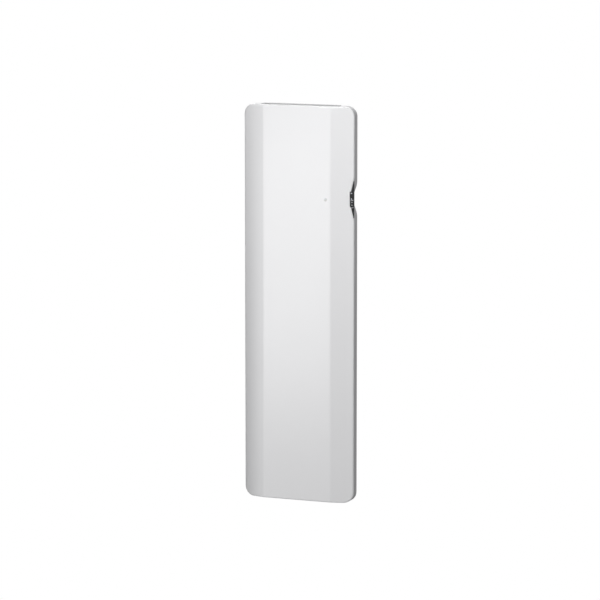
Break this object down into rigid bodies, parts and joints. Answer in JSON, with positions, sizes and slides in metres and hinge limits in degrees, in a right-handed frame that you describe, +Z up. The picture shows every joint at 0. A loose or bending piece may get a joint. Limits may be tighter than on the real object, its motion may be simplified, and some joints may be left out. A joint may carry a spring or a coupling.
{
  "type": "wall radiator",
  "caption": "Tall slim wall-hung electric panel radiator with folded front, side control, presence sensor and a tipping wall bracket.",
  "frame": {"origin": "on the wall, in the middle of the wall bracket's back face", "axes": "+X to the right of someone facing the radiator, +Y into the wall, +Z up"},
  "size_m": [0.44, 0.0877, 1.5025],
  "materials": {
    "panel_white": "fine satin powder coat",
    "casing_grey": "fine textured powder coat",
    "grille_grey": "satin",
    "black_plastic": "fine spark texture",
    "fascia_black": "gloss",
    "display_window": "tinted and clear",
    "display": "glass-fronted display",
    "key_black": "satin",
    "sensor_lens": "translucent",
    "circuit_board": "solder mask",
    "heating_film": "amber film with printed tracks",
    "foil": "bright foil",
    "cast_aluminium": "as cast",
    "zinc_steel": "zinc plated",
    "ceramic": "unglazed",
    "nylon": "natural",
    "cable_sheath": "smooth sheath",
    "core_brown": "smooth",
    "core_blue": "smooth",
    "core_black": "smooth"
  },
  "bodies": {
    "bracket": {"wall_bracket": "zinc_steel", "pivot_rod": "zinc_steel", "latch_rivet_left": "zinc_steel", "latch_rivet_right": "zinc_steel"},
    "radiator": {"bottom_inlet_grille": "grille_grey", "cable_gland": "black_plastic", "catch_stud_left": "zinc_steel", "catch_stud_right": "zinc_steel", "control_board": "circuit_board", "control_fascia": "fascia_black", "control_housing": "black_plastic", "display_module": "display", "display_window": "display_window", "element_bush_lower_left": "ceramic", "element_bush_lower_right": "ceramic", "element_bush_middle_left": "ceramic", "element_bush_middle_right": "ceramic", "element_bush_upper_left": "ceramic", "element_bush_upper_right": "ceramic", "element_rail_left": "zinc_steel", "element_rail_right": "zinc_steel", "film_insulation": "foil", "front_heating_film": "heating_film", "front_panel": "panel_white", "hanging_hook_left": "zinc_steel", "hanging_hook_right": "zinc_steel", "heat_shield": "foil", "heating_element_lower": "cast_aluminium", "heating_element_middle": "cast_aluminium", "heating_element_upper": "cast_aluminium", "main_harness": "cable_sheath", "power_board": "circuit_board", "presence_board": "circuit_board", "presence_holder": "black_plastic", "presence_lens": "sensor_lens", "presence_sensor": "zinc_steel", "probe_clip": "nylon", "rail_screw_1": "zinc_steel", "rail_screw_2": "zinc_steel", "rail_screw_3": "zinc_steel", "rail_screw_4": "zinc_steel", "rear_casing": "casing_grey", "rocker_body": "black_plastic", "room_probe": "black_plastic", "sensor_harness": "cable_sheath", "supply_cable": "cable_sheath", "supply_core_black": "core_black", "supply_core_blue": "core_blue", "supply_core_brown": "core_brown", "terminal_block": "nylon", "thermal_cutout": "zinc_steel", "top_outlet_grille": "grille_grey"},
    "upper_key": {"upper_key": "key_black"},
    "lower_key": {"lower_key": "key_black"},
    "rocker": {"rocker_cap": "black_plastic"},
    "latch_left": {"top_latch_left": "zinc_steel"},
    "latch_right": {"top_latch_right": "zinc_steel"}
  },
  "joints": [
    {"name": "tilt", "type": "hinge", "parent": "bracket", "child": "radiator", "pos_m": [0, -0.012, -0.69], "axis": [1, 0, 0], "range_deg": [0, 12]},
    {"name": "latch_left_turn", "type": "hinge", "parent": "bracket", "child": "latch_left", "pos_m": [-0.11, -0.0125, 0.6], "axis": [0, 1, 0], "range_deg": [0, 30]},
    {"name": "latch_right_turn", "type": "hinge", "parent": "bracket", "child": "latch_right", "pos_m": [0.11, -0.0125, 0.6], "axis": [0, -1, 0], "range_deg": [0, 30]},
    {"name": "upper_key_press", "type": "slide", "parent": "radiator", "child": "upper_key", "axis": [-0.2571, 0.9664, 0], "range_m": [0, 0.0007], "stiffness_N_per_m": 2500},
    {"name": "lower_key_press", "type": "slide", "parent": "radiator", "child": "lower_key", "axis": [-0.2571, 0.9664, 0], "range_m": [0, 0.0007], "stiffness_N_per_m": 2500},
    {"name": "rocker_turn", "type": "hinge", "parent": "radiator", "child": "rocker", "pos_m": [0.176, -0.0245, 0.404], "axis": [1, 0, 0], "range_deg": [0, 12]}
  ]
}
